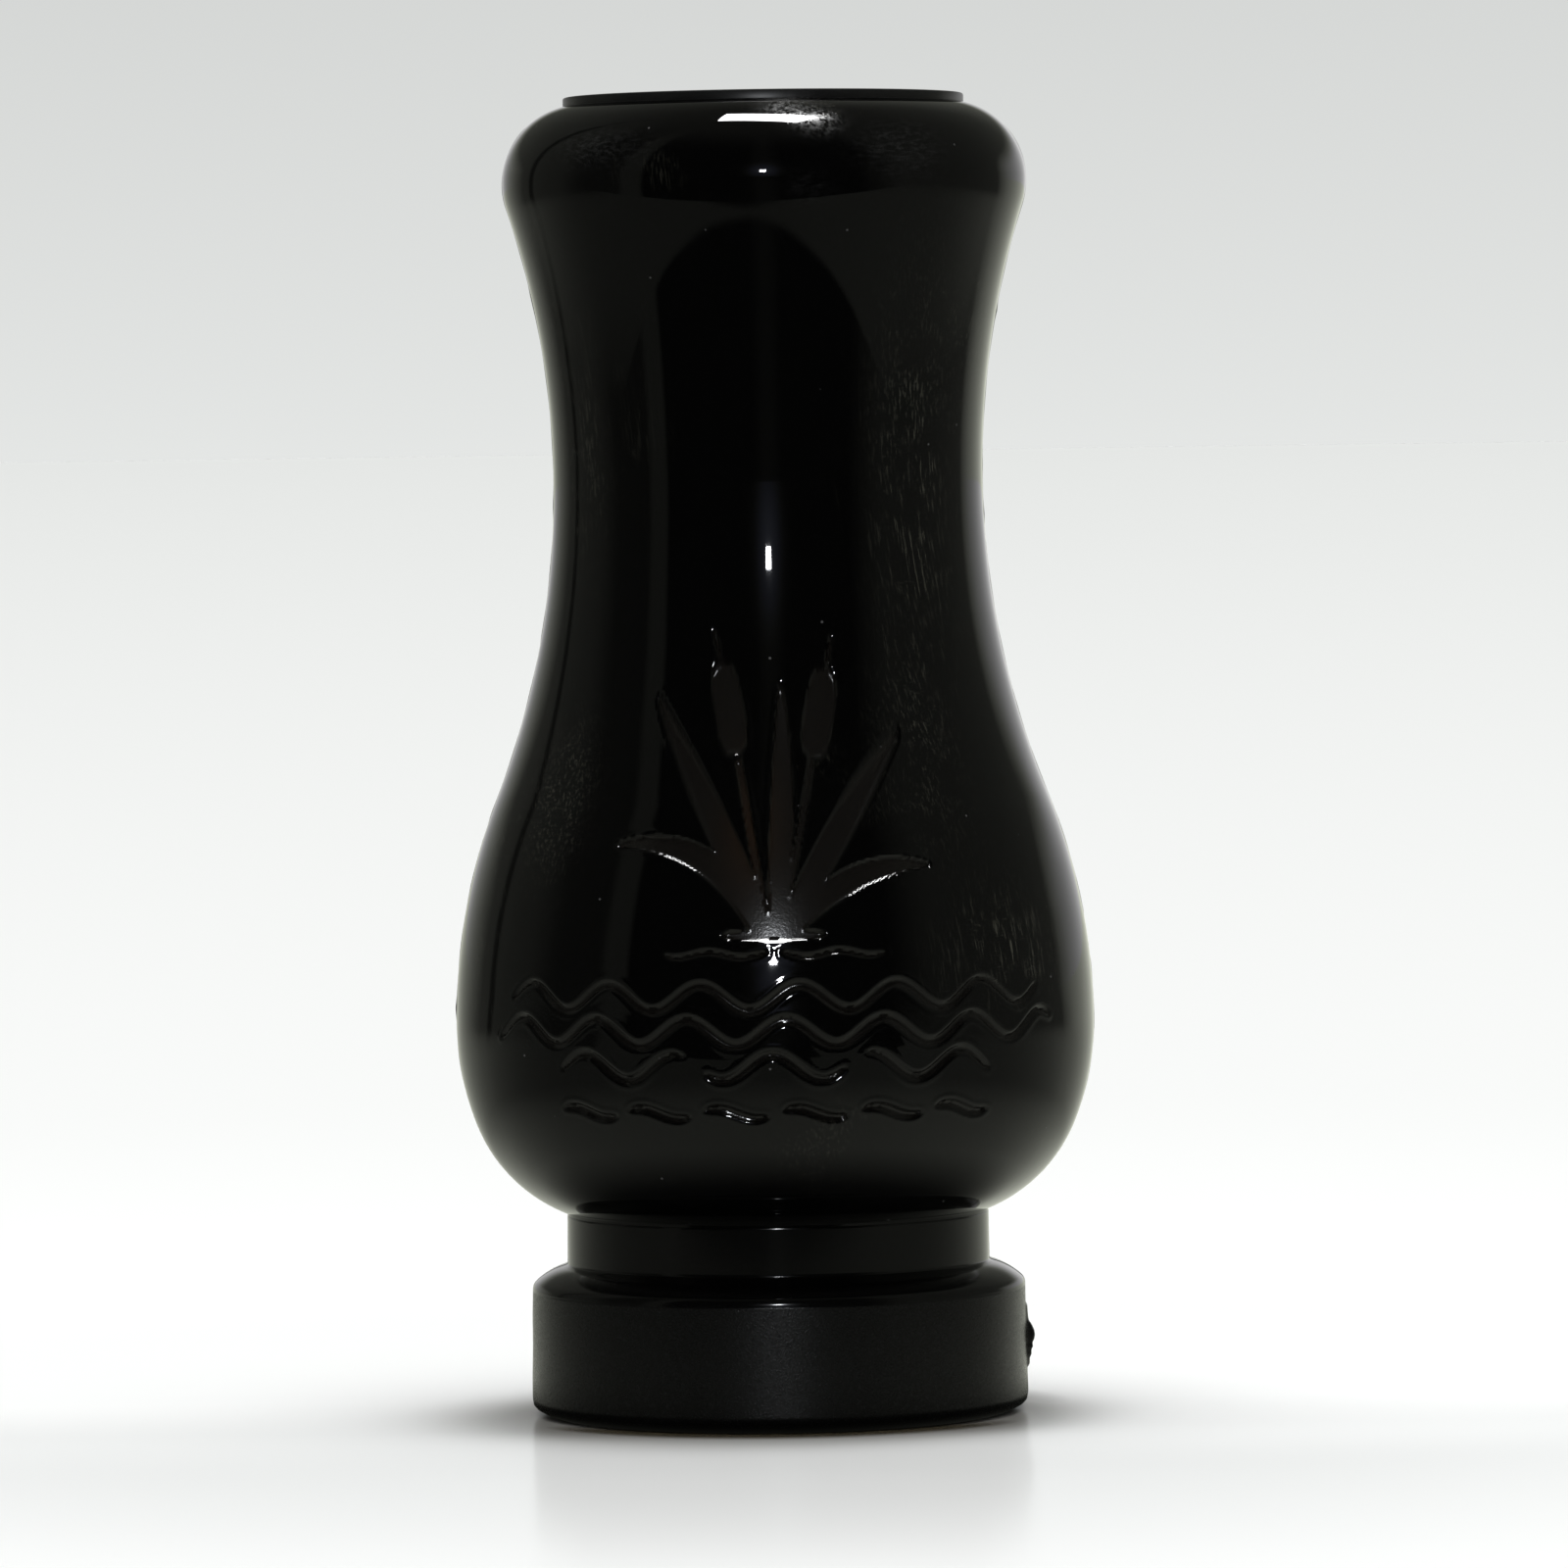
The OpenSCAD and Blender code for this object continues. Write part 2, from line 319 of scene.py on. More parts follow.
def cattail(base, bend, tip, width):
    """Stem, head and spike of one cattail, as three strokes."""
    points = bezier(base, bend, tip, 40)
    head_from, head_to = 24, 35
    stem, head, spike = points[:head_from - 1], points[head_from:head_to], points[head_to + 1:]
    t = np.linspace(0, 1, len(head))
    return [
        (stem, np.full(len(stem), 0.22)),
        (head, width * (1 - np.abs(2 * t - 1) ** 6 * 0.5)),
        (spike, np.full(len(spike), 0.17)),
    ]


def ripple(z, half, wave, height, width, phase=0.0, dash=None):
    """Sine strokes across the front at height z, whole or broken into dashes of a given length."""
    spans = [(-half, half)]
    if dash:
        step = dash[0] + dash[1]
        count = int(2 * half / step)
        first = -(count * step - dash[1]) / 2
        spans = [(first + k * step, first + k * step + dash[0]) for k in range(count)]
    out = []
    for a, b in spans:
        u = np.linspace(a, b, max(6, int((b - a) * 5)))
        t = (u - a) / (b - a)
        points = np.c_[u, z + height * np.sin(2 * math.pi * (u / wave + phase))]
        out.append((points, width * (0.35 + 0.65 * np.sin(math.pi * t) ** 0.35)))
    return out


def strokes():
    """Pockets of the emblem and narrow lines below it, as (points, half widths) in millimetres."""
    base = 29.6
    pockets = [
        leaf((-0.9, base), (-3.2, 35.2), (-9.6, 34.4), 0.62),
        leaf((-0.5, base), (-3.6, 37.0), (-8.2, 42.6), 0.64),
        leaf((0.1, base), (0.9, 38.0), (0.7, 43.4), 0.58),
        leaf((0.7, base), (4.4, 36.8), (9.0, 40.6), 0.66),
        leaf((1.1, base), (4.4, 33.6), (9.4, 33.0), 0.58),
    ]
    pockets += cattail((-0.4, base), (-1.6, 38.0), (-4.2, 46.6), 1.02)
    pockets += cattail((0.4, base), (2.2, 38.0), (4.6, 46.0), 1.06)
    pockets += ripple(29.2, 2.7, 3.0, 0.0, 0.34)
    lines = ripple(25.6, 16.4, 5.4, 0.75, 0.3)
    lines += ripple(23.6, 17.6, 5.4, 0.75, 0.3, 0.14)
    lines += ripple(21.6, 16.2, 5.4, 0.75, 0.28, 0.28, (7.5, 1.3))
    lines += ripple(18.9, 13.8, 4.4, 0.3, 0.27, 0.0, (3.4, 1.0))
    lines += ripple(28.1, 7.4, 3.6, 0.16, 0.2, 0.25, (5.6, 1.0))
    return pockets, lines


def stroke_distance(u, v, points, half):
    """Distance to a tapered stroke, negative inside it."""
    best = np.full(u.shape, FAR)
    reach = half.max() + 1.0
    lo, hi = points.min(0) - reach, points.max(0) + reach
    near = (u > lo[0]) & (u < hi[0]) & (v > lo[1]) & (v < hi[1])
    un, vn, found = u[near], v[near], best[near]
    for p, q, a, b in zip(points[:-1], points[1:], half[:-1], half[1:]):
        d = q - p
        t = np.clip(((un - p[0]) * d[0] + (vn - p[1]) * d[1]) / (d @ d), 0, 1)
        away = np.hypot(un - p[0] - t * d[0], vn - p[1] - t * d[1]) - (a + (b - a) * t)
        found = np.minimum(found, away)
    best[near] = found
    return best


def nearest(u, v, shapes):
    """Distance to the nearest of several strokes."""
    best = np.full(u.shape, FAR)
    for points, half in shapes:
        best = np.minimum(best, stroke_distance(u, v, points, half))
    return best


def smooth(x):
    x = np.clip(x, 0, 1)
    return x * x * (3 - 2 * x)


def burr(distance, height, at):
    """Low ridge that the cut raised beside a stroke."""
    return height * np.exp(-((distance - at) / BURR_WIDTH) ** 2)


# ---------------------------------------------------------------- parting lines and torn gate
RIDGE_HEIGHT = 0.032
RIDGE_WIDTH = 0.09
NICK_WIDTH = 0.16
GATE_OUT = 0.5
GATE_HALF = 0.66
GATE_EDGE = 0.42
TEXTURE_TOP = 7.35
# The gate's outline: height, and how far it stands out there as a share of GATE_OUT.
TORN_GATE = ((2.4, 0), (2.6, 0.28), (3.0, 0.34), (3.15, 0.55), (3.5, 0.6), (3.6, 0.78), (3.9, 0.72),
             (4.0, 0.88), (4.3, 1), (4.6, 0.9), (5.0, 0.6), (5.15, 0.36), (5.35, 0.26), (6.1, 0.2),
             (6.3, 0))

rng = random.Random(11)
NICKS = [(rng.choice((0, 180)), rng.uniform(16, 74), rng.uniform(0.25, 0.7),
          rng.uniform(-0.05, 0.06)) for _ in range(14)]


def arc_length(azimuth, r, side):
    """Distance round the surface from the meridian at side degrees."""
    return np.radians((azimuth - side + 180) % 360 - 180) * r


def parting_ridge(azimuth, r, z, lo, hi):
    """Fine line of flash along the two parting meridians, with a few nicks in it."""
    out = np.zeros_like(r)
    for side in (0, 180):
        across = arc_length(azimuth, r, side)
        line = np.exp(-(across / RIDGE_WIDTH) ** 2)
        out += RIDGE_HEIGHT * line * (0.75 + 0.25 * np.sin(z * 1.7 + side))
        for at, height, size, tall in NICKS:
            if at == side:
                out += tall * np.exp(-(across / NICK_WIDTH) ** 2 - ((z - height) / size) ** 2)
    return out * smooth((z - lo) / 0.4) * smooth((hi - z) / 0.8)


def barrel_detail(azimuth, r, z, _normal):
    """Engraving on the front and the parting ridge, on the rows outside the rim only."""
    outside_rows = int(np.argmax(z[:, 0] > TOP - 1e-6))
    outer = (np.arange(len(r)) < outside_rows)[:, None] & np.ones(r.shape, bool)
    u = (azimuth - 270) * math.pi / 180 * EMBLEM_R
    field = outer & (np.abs(u) < FIELD_HALF) & (z > FIELD_Z[0]) & (z < FIELD_Z[1])
    pockets, lines = strokes()
    pocket = nearest(u[field], z[field], pockets)
    line = nearest(u[field], z[field], lines)
    cut = np.maximum(POCKET_DEPTH * smooth((CUT_EDGE - pocket) / 0.16),
                     LINE_DEPTH * smooth((CUT_EDGE - line) / 0.24))
    depth = np.zeros_like(r)
    depth[field] = np.maximum(burr(pocket, 0.02, 0.16), burr(line, 0.022, 0.18)) - cut
    depth += np.where(outer, parting_ridge(azimuth, r, z, SEAM + 0.3, TOP - 1.2), 0)
    mark = np.zeros_like(r)
    mark[field] = np.maximum(smooth((0.04 - pocket) / 0.12), 0.7 * smooth((CUT_EDGE - line) / 0.16))
    return depth, mark


def insert_detail(azimuth, r, z, normal):
    """Parting ridge, the torn gate on the collar's right, and where the collar is textured."""
    outer = (r > NECK_R - 0.3) & (z > 0.2)
    out = np.where(outer, parting_ridge(azimuth, r, z, 0.7, SEAM - 0.1), 0)
    across = arc_length(azimuth, r, 0)
    side = (normal[:, :1] > 0.9) & outer & (r > COLLAR_TOP_R - 0.1)
    fin = smooth((GATE_HALF - np.abs(across - 0.08 * np.sin(z * 1.7))) / GATE_EDGE)
    torn = 0.96 + 0.05 * np.sin(across * 3 + 1) * np.sin(z * 3.1)
    heights, shares = zip(*TORN_GATE)
    out += np.where(side, GATE_OUT * np.interp(z, heights, shares) * fin * torn, 0)
    return out, np.where((r > COLLAR_TOP_R - 0.25) & (z < TEXTURE_TOP), 1.0, 0.0)


# ---------------------------------------------------------------- materials
class Nodes:
    """Short spelling for building a node tree."""

    def __init__(self, tree):
        self.tree = tree

    def add(self, kind, inputs=None, **props):
        node = self.tree.nodes.new("ShaderNode" + kind)
        for key, value in props.items():
            setattr(node, key, value)
        for key, value in (inputs or {}).items():
            self.put(node.inputs[key], value)
        return node

    def put(self, socket, value):
        if isinstance(value, bpy.types.NodeSocket):
            self.tree.links.new(value, socket)
        else:
            socket.default_value = value

    def math(self, operation, a, b=0.0, clamp=False):
        return self.add("Math", {0: a, 1: b}, operation=operation, use_clamp=clamp).outputs[0]

    def plus(self, first, *rest):
        for value in rest:
            first = self.math("ADD", first, value)
        return first

    def times(self, first, *rest):
        for value in rest:
            first = self.math("MULTIPLY", first, value)
        return first

    def minus(self, a, b):
        return self.math("SUBTRACT", a, b)

    def span(self, value, a, b, low=0.0, high=1.0, kind="SMOOTHSTEP"):
        """Maps value from a..b to low..high."""
        node = self.add("MapRange", {"Value": value, "From Min": a, "From Max": b,
                                     "To Min": low, "To Max": high}, interpolation_type=kind)
        return node.outputs[0]

    def bell(self, *axes):
        """Soft spot, 1 at its centre; each axis is a value, its centre and its width."""
        total = 0.0
        for value, centre, width in axes:
            off = self.math("DIVIDE", self.minus(value, centre), width)
            total = self.plus(total, self.times(off, off))
        return self.math("EXPONENT", self.times(total, -1))

    def blend(self, factor, a, b):
        return self.add("Mix", {0: factor, 2: a, 3: b}).outputs[0]

    def mix(self, factor, a, b):
        """Mixed colour."""
        return self.add("Mix", {0: factor, 6: a, 7: b}, data_type="RGBA").outputs[2]

    def mix_shaders(self, factor, a, b):
        return self.add("MixShader", {0: factor, 1: a, 2: b}).outputs[0]

    def axes(self, vector):
        return self.add("SeparateXYZ", {0: vector}).outputs

    def scaled(self, vector, scale):
        return self.add("VectorMath", {0: vector, 1: scale}, operation="MULTIPLY").outputs[0]

    def noise(self, vector, scale, detail=2.0, rough=0.5):
        return self.add("TexNoise", {"Vector": vector, "Scale": scale, "Detail": detail,
                                     "Roughness": rough}).outputs["Fac"]

    def cells(self, vector, scale):
        """Distance to the nearest cell point, and a random value per cell."""
        node = self.add("TexVoronoi", {"Vector": vector, "Scale": scale})
        pick = self.add("SeparateColor", {0: node.outputs["Color"]}).outputs[0]
        return node.outputs["Distance"], pick

    def marked(self):
        """The value per vertex that the mesh code left."""
        return self.add("Attribute", attribute_name="engraved").outputs["Fac"]

    def bump(self, height, strength, distance, normal=None):
        inputs = {"Height": height, "Strength": strength, "Distance": distance}
        if normal:
            inputs["Normal"] = normal
        return self.add("Bump", inputs).outputs[0]


def material(name):
    """New material, its node helper, its shader and the surface place in millimetres."""
    mat = bpy.data.materials.new(name)
    mat.use_nodes = True
    n = Nodes(mat.node_tree)
    shader = mat.node_tree.nodes["Principled BSDF"]
    mm = n.scaled(n.add("TexCoord").outputs["Object"], (1 / MM, 1 / MM, 1 / MM))
    return mat, n, shader, mm


def paint(n, shader, base, rough, normal):
    n.put(shader.inputs["Base Color"], base)
    n.put(shader.inputs["Roughness"], rough)
    n.put(shader.inputs["Normal"], normal)


def grey(v, tint=0.0):
    return (v, v, v * (1 + tint), 1)


def turn_from_front(n, x, y):
    """Degrees round the upright axis, 0 towards the camera and 90 on +X."""
    return n.times(n.math("ARCTAN2", x, n.times(y, -1)), 180 / math.pi)


# Marks on the barrel, as soft spots: turn in degrees and height in mm, half sizes, strength.
HANDLED = (((42, 55), (11, 9), 0.8), ((47, 28), (12, 2.6), 1.0), ((-50, 37), (8, 4), 0.7),
           ((-58, 57), (9, 6), 0.5), ((12, 76.7), (8, 0.8), 1.0), ((34, 40), (9, 5), 0.45),
           ((-128, 50), (12, 9), 0.8), ((150, 33), (16, 6), 0.7))
# Skin dulled beside the lamp's reflection on the bead: rougher, and painted pale as a painted
# highlight.
DULL_AND_PAINTED_HIGHLIGHT = (((5.5, 76.95), (5, 0.5), 1.0), ((12.5, 76.1), (4.5, 0.6), 1.0))
SMUDGED = (((-40, 74.8), (11, 1.1), 1.0), ((32, 74.5), (10, 1.4), 1.0), ((10, 72.2), (4, 0.9), 0.6))
# Painted reflection: a faint brown reflection painted into the pockets' colour at the emblem's centre.
PAINTED_BROWN_REFLECTION = (((-4, 35.6), (5, 3.4), 1.0),)


def spots(n, turn, z, places):
    """Sum of soft spots on the surface."""
    total = 0.0
    for (at_turn, at_z), (wide, tall), strength in places:
        spot = n.bell((turn, at_turn, wide), (z, at_z, tall))
        total = n.plus(total, n.times(spot, strength))
    return total


def dust(n, mm):
    """Sparse pale specks of a tenth of a millimetre."""
    distance, pick = n.cells(mm, 0.62)
    return n.times(n.span(distance, 0.03, 0.06, 1, 0), n.span(pick, 0.74, 0.76))


def scratches(n, mm, lean, turn, z):
    """Fine upright scratches where a thumb and fingers close, and a few across them."""
    loose = n.span(n.noise(mm, 0.09, 3, 0.6), 0.56, 0.72, 0, 0.3)
    worn = n.math("MAXIMUM", spots(n, turn, z, HANDLED), loose, clamp=True)
    upright = n.noise(n.scaled(lean, (7.5, 7.5, 0.6)), 1.0, 2, 0.55)
    level = n.noise(n.scaled(mm, (1.1, 1.1, 6.0)), 1.0, 2, 0.55)
    streak = n.math("MAXIMUM", n.span(upright, 0.53, 0.68), n.span(level, 0.64, 0.76, 0, 0.6))
    clump = n.span(n.noise(mm, 0.55, 2, 0.5), 0.33, 0.56)
    return n.times(streak, clump, worn)


def dull_patches_and_painted_highlight(n, mm, lean, turn, z):
    """Mask of skin dulled beside the lamp's reflection on the bead, painted pale there as a painted
    highlight, and of faint finger smudges round it.
    """
    dull_and_painted_highlight = n.math("MINIMUM", spots(n, turn, z, DULL_AND_PAINTED_HIGHLIGHT), 1)
    dull_and_painted_highlight = n.times(dull_and_painted_highlight, n.span(n.noise(lean, 3.0, 5, 0.75), 0.38, 0.66))
    swirl = n.span(n.noise(n.scaled(mm, (2.0, 2.0, 6.0)), 1.0, 5, 0.75), 0.42, 0.74)
    return n.math("MAXIMUM", dull_and_painted_highlight, n.times(spots(n, turn, z, SMUDGED), swirl, 0.12))


def gloss_black():
    mat, n, shader, mm = material("gloss_black")
    x, y, z = n.axes(mm)
    turn = turn_from_front(n, x, y)
    lean = n.add("VectorRotate", {"Vector": mm, "Angle": 0.14}, rotation_type="Y_AXIS").outputs[0]
    engraved = n.marked()
    speck = dust(n, mm)
    scratch = scratches(n, mm, lean, turn, z)
    dull_and_painted_highlight = dull_patches_and_painted_highlight(n, mm, lean, turn, z)
    smear = n.span(n.noise(n.scaled(mm, (0.16, 0.16, 0.07)), 1.0, 4, 0.62), 0.42, 0.75)
    rim = n.span(z, TOP - 0.6, TOP - 0.5)
    # Colour in the pockets, browner towards the emblem's centre, where a faint brown reflection is
    # painted.
    pocket = n.mix(spots(n, turn, z, PAINTED_BROWN_REFLECTION), (0.0058, 0.0050, 0.0042, 1), (0.015, 0.0085, 0.0048, 1))
    base = grey(0.0007, 0.1)
    # Where the bead's skin is dulled, the pale grey is partly a painted highlight; the pockets' brown
    # is a painted reflection.
    for share, colour in ((speck, grey(0.06)), (scratch, (0.046, 0.045, 0.035, 1)),
                          (dull_and_painted_highlight, grey(0.15)), (engraved, pocket),
                          (n.times(rim, n.noise(mm, 8, 3, 0.6)), grey(0.012))):
        base = n.mix(share, base, colour)
    rough = 0.022
    for share, added in ((smear, 0.035), (scratch, 0.2), (dull_and_painted_highlight, 0.32), (engraved, 0.15),
                         (rim, 0.3), (speck, 0.5)):
        rough = n.plus(rough, n.times(share, added))
    # Moulded skin: very shallow long waves, then the stipple of the pockets and the scratches.
    skin = n.bump(n.noise(mm, 0.2, 1, 0.4), 0.1, 0.0001)
    skin = n.bump(n.times(n.noise(mm, 6.5, 2, 0.6), engraved), 0.3, 0.00002, skin)
    skin = n.bump(scratch, 0.4, 0.00001, skin)
    paint(n, shader, base, rough, skin)
    shader.inputs["IOR"].default_value = 1.5
    return mat


def satin_black():
    """Satin, sparkling grain where the mesh is marked as textured, smoother elsewhere."""
    mat, n, shader, mm = material("satin_black")
    textured = n.marked()
    grain = n.noise(mm, 9, 3, 0.65)
    cloud = n.noise(mm, 0.3, 3, 0.6)
    _, pick = n.cells(mm, 8)
    glint = n.times(n.span(pick, 0.78, 0.96), textured)
    base = n.mix(cloud, grey(0.0008), grey(0.0016, 0.04))
    base = n.mix(n.times(textured, grain), base, grey(0.0030, 0.05))
    base = n.mix(n.times(glint, 0.3), base, grey(0.010, 0.1))
    smooth_rough = n.plus(0.085, n.times(cloud, 0.06))
    satin_rough = n.minus(n.plus(0.185, n.times(grain, 0.15)), n.times(glint, 0.13))
    height = n.times(grain, n.span(textured, 0, 1, 0.02, 1, "LINEAR"))
    paint(n, shader, base, n.blend(textured, smooth_rough, satin_rough), n.bump(height, 0.5, 0.00003))
    n.put(shader.inputs["Specular IOR Level"], n.span(textured, 0, 1, 0.5, 0.36))
    return mat


def rubber():
    mat, n, shader, mm = material("seal_rubber")
    wave = n.noise(mm, 2.4, 4, 0.6)
    paint(n, shader, n.mix(wave, grey(0.010), grey(0.022)), n.span(wave, 0.3, 0.7, 0.32, 0.55),
          n.bump(n.noise(mm, 9, 2), 0.3, 0.00002))
    return mat


def machined(name, low, high, rough, pitch):
    """Turned and milled acetal: fine tool rings across the axis, soft clouding, faint wear."""
    mat, n, shader, mm = material(name)
    wobble = n.times(n.noise(mm, 0.8, 2), 0.35)
    rings = n.math("SINE", n.times(n.plus(n.axes(mm)[2], wobble), 2 * math.pi / pitch))
    cloud = n.noise(mm, 0.35, 4, 0.6)
    wear = n.span(n.noise(mm, 1.6, 5, 0.7), 0.56, 0.72)
    worn_colour = tuple(c * 0.72 for c in low[:3]) + (1,)
    base = n.mix(n.times(wear, 0.22), n.mix(cloud, low, high), worn_colour)
    edge = n.add("Bevel", {"Radius": 0.00012}, samples=4).outputs[0]
    skin = n.bump(n.noise(mm, 5, 3), 0.12, 0.00002, n.bump(rings, 0.22, 0.000012, edge))
    paint(n, shader, base, n.span(cloud, 0.2, 0.8, rough - 0.07, rough + 0.09), skin)
    return mat


def film():
    mat, n, shader, mm = material("reed_film")
    haze = n.noise(n.scaled(mm, (0.5, 0.5, 0.2)), 1.0, 4, 0.6)
    scuff = n.span(n.noise(n.scaled(mm, (6, 6, 0.6)), 1.0, 3, 0.6), 0.58, 0.72)
    base = n.mix(haze, (0.62, 0.66, 0.62, 1), (0.80, 0.83, 0.79, 1))
    rough = n.plus(n.span(haze, 0.3, 0.7, 0.12, 0.24), n.times(scuff, 0.2))
    paint(n, shader, base, rough, n.bump(scuff, 0.2, 0.00001))
    shader.inputs["Transmission Weight"].default_value = 0.25
    return mat


def dress(obj, mat):
    obj.data.materials.clear()
    obj.data.materials.append(mat)


# ---------------------------------------------------------------- pieces
def stand_in(obj, node, mat):
    """Shows obj in place of the CAD node, with its own material slot."""
    dress(obj, mat)
    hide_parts(node)


def reed_mesh():
    """Film strip with a round-cornered tip and softened edges, in many rows along its length."""
    half, corner, soft = (reed_hi[0] - reed_lo[0]) / 2, 2.0, 0.06
    straight_top = reed_hi[2] - corner
    rows = np.r_[np.linspace(reed_lo[2], straight_top, 90),
                 straight_top + corner * np.sin(np.radians(np.linspace(6, 88, 14)))]
    over = np.clip((rows - straight_top) / corner, 0, 1)
    widths = half - corner * (1 - np.sqrt(1 - over ** 2))
    thick = reed_hi[1] - reed_lo[1]
    mid = (reed_hi[1] + reed_lo[1]) / 2
    # Section of the strip as shares of its half width and thickness, once round.
    inner = 1 - soft / half
    under = [(-1, -0.25), (-inner, -0.5), (-0.5, -0.5), (0, -0.5), (0.5, -0.5), (inner, -0.5),
             (1, -0.25)]
    loop = under + [(x, -y) for x, y in reversed(under)]
    m = len(loop)
    co = [(w * x, mid + thick * y, z) for w, z in zip(widths, rows) for x, y in loop]
    quads = [[i * m + j, i * m + (j + 1) % m, (i + 1) * m + (j + 1) % m, (i + 1) * m + j]
             for i in range(len(rows) - 1) for j in range(m)]
    for first, order in ((0, -1), ((len(rows) - 1) * m, 1)):
        for a in range(m // 2 - 1):
            cap = [first + a, first + a + 1, first + m - 2 - a, first + m - 1 - a]
            quads.append(cap[::order])
    return mesh_object("reed_film_strip", np.array(co) * MM, np.array(quads))


barrel = revolve("barrel_moulding", barrel_profile(),
                 angles(63, math.degrees(FINE / BELLY_R), 2.0), barrel_detail)
stand_in(barrel, "barrel", gloss_black())
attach(barrel, "barrel")

insert = revolve("insert_moulding", insert_profile(), angles(0, 1, 1.25), insert_detail)
stand_in(insert, "insert", satin_black())
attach(insert, "insert")

seal = rubber()
natural = machined("natural_acetal", (0.66, 0.64, 0.56, 1), (0.78, 0.76, 0.68, 1), 0.38, 0.16)
black = machined("black_acetal", grey(0.012), grey(0.022), 0.34, 0.2)
for name, mat in (("o_ring_lower", seal), ("o_ring_upper", seal),
                  ("tone_channel", natural), ("wedge", black)):
    dress(frame["nodes"][name], mat)

reed = reed_mesh()
stand_in(reed, "reed", film())
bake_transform(reed)


# ---------------------------------------------------------------- stage, in metres and degrees
# Where the camera is and looks, and its field of view.
CAMERA_ASIDE = 0.0007
CAMERA_BACK = 0.595
CAMERA_HIGH = 0.0575
LOOK_HIGH = 0.03725
CAMERA_ROLL = -0.78
FIELD_OF_VIEW = 8.93
# Brightness of the dim room that the gloss reflects.
ROOM = 0.012
SIDE_LIGHT = 0.10
BACK_LIGHT = 0.39
BACK_GLOW = 0.30
BACK_RIGHT = 0.28
LAMP_STREAK = 0.04
CEILING = 0.075
SPILL = 0.2
ROOM_COLOUR = (0.97, 1.0, 0.86, 1)
SPILL_COLOUR = (0.82, 0.88, 1.12, 1)
# The paper: how bright it is in the gloss, how much it shines itself, and its colours.
FLOOR_R = 60.0
FLOOR_LIGHT = 0.19
FLOOR_RIGHT = 0.35
FLOOR_SHEEN = 0.31
PAPER_FAR = (0.708, 0.722, 0.712, 1)
PAPER_NEAR = (0.885, 0.895, 0.890, 1)
# Paper colour for the painted light round the call.
PAPER_BRIGHT = (0.975, 0.985, 0.980, 1)
PAPER_LIFTED = (1.125, 1.135, 1.130, 1)
PAPER_FIBRE = (0.8, 0.8, 0.8, 1)
CONTACT_SHADOW = (0.07, 0.058, 0.036, 1)
# The contact shadow: a soft ring about a centre a little in front of the axis.
SHADOW_FRONT = 0.0038
SHADOW_R = 0.0138
SHADOW_DEPTH = 0.77
# The backdrop as the camera sees it, at the horizon and 8 degrees up.
BACKDROP_LOW = (0.778, 0.793, 0.782, 1)
BACKDROP_HIGH = (0.490, 0.500, 0.490, 1)


def room_profile(n, turn, low=None):
    """Brightness of the room by azimuth: dark in front, dim at the sides, bright at the back.

    low, if given, scales the back only, so that it can fade with height.
    """
    wide = n.math("ABSOLUTE", turn)
    left = n.span(n.times(turn, -1), 53, 57, 0, SIDE_LIGHT)
    dip = n.times(n.span(turn, -68, -63, 1, 0), n.span(turn, -104, -84))
    left = n.times(left, n.minus(1, n.times(0.6, dip)))
    right = n.span(turn, 36, 66, 0, SIDE_LIGHT)
    gap = n.times(n.span(turn, -127.5, -125), n.span(turn, -123.5, -121, 1, 0))
    gap = n.minus(1, n.times(0.65, gap))
    back_right = n.times(n.span(turn, 116, 138, 0, BACK_RIGHT), n.span(turn, 170, 180, 1, 0))
    back = n.plus(n.span(wide, 125, 155, 0, BACK_LIGHT, "LINEAR"),
                  n.span(wide, 155, 172, 0, BACK_GLOW, "LINEAR"), back_right)
    if low is not None:
        back = n.times(back, low)
    lamp = n.times(n.bell((turn, 0, 7)), LAMP_STREAK)
    room = n.times(n.math("MAXIMUM", n.plus(left, right, lamp), back), gap)
    return n.math("MAXIMUM", room, ROOM)


def contact_shadow(n, x, y, away):
    """Share of shadow on the paper: a soft ring round the foot, and a line where they touch."""
    ahead = n.plus(y, SHADOW_FRONT)
    reach = n.math("SQRT", n.plus(n.times(x, x), n.times(ahead, ahead)))
    ring = n.times(n.bell((reach, SHADOW_R, n.span(x, -0.012, 0.012, 0.0061, 0.00455))), SHADOW_DEPTH)
    ring = n.times(ring, n.span(y, -0.020, -0.010, 0.6, 1.0))
    line = n.times(n.span(away, 0.0153, 0.0198, 1, 0), n.span(y, -0.0115, -0.003, 1.0, 0.5))
    return n.math("MAXIMUM", ring, line)


def paper_colour(n, where, x, y, away):
    """Paper that fades to the backdrop's tone in step with its height in the picture."""
    near = n.math("DIVIDE", CAMERA_BACK, n.plus(away, CAMERA_BACK))
    tone = n.minus(1, n.math("POWER", n.minus(1, near), 2))
    paper = n.mix(tone, PAPER_FAR, PAPER_NEAR)
    # Painted light: the paper is made paler within 0.3 m of the call.
    paper = n.mix(n.span(away, 0.03, 0.30, 0.72, 0), paper, PAPER_BRIGHT)
    # Light that the call would block round the foot, given back, more on the right.
    lift = n.times(n.span(away, 0.030, 0.075, 0.8, 0), n.span(y, -0.036, -0.014))
    lift = n.times(lift, n.span(x, -0.020, 0.020, 0.45, 1.0))
    paper = n.mix(lift, paper, PAPER_LIFTED)
    paper = n.mix(n.times(n.noise(where, 900, 4, 0.6), 0.04), paper, PAPER_FIBRE)
    return n.mix(contact_shadow(n, x, y, away), paper, CONTACT_SHADOW)


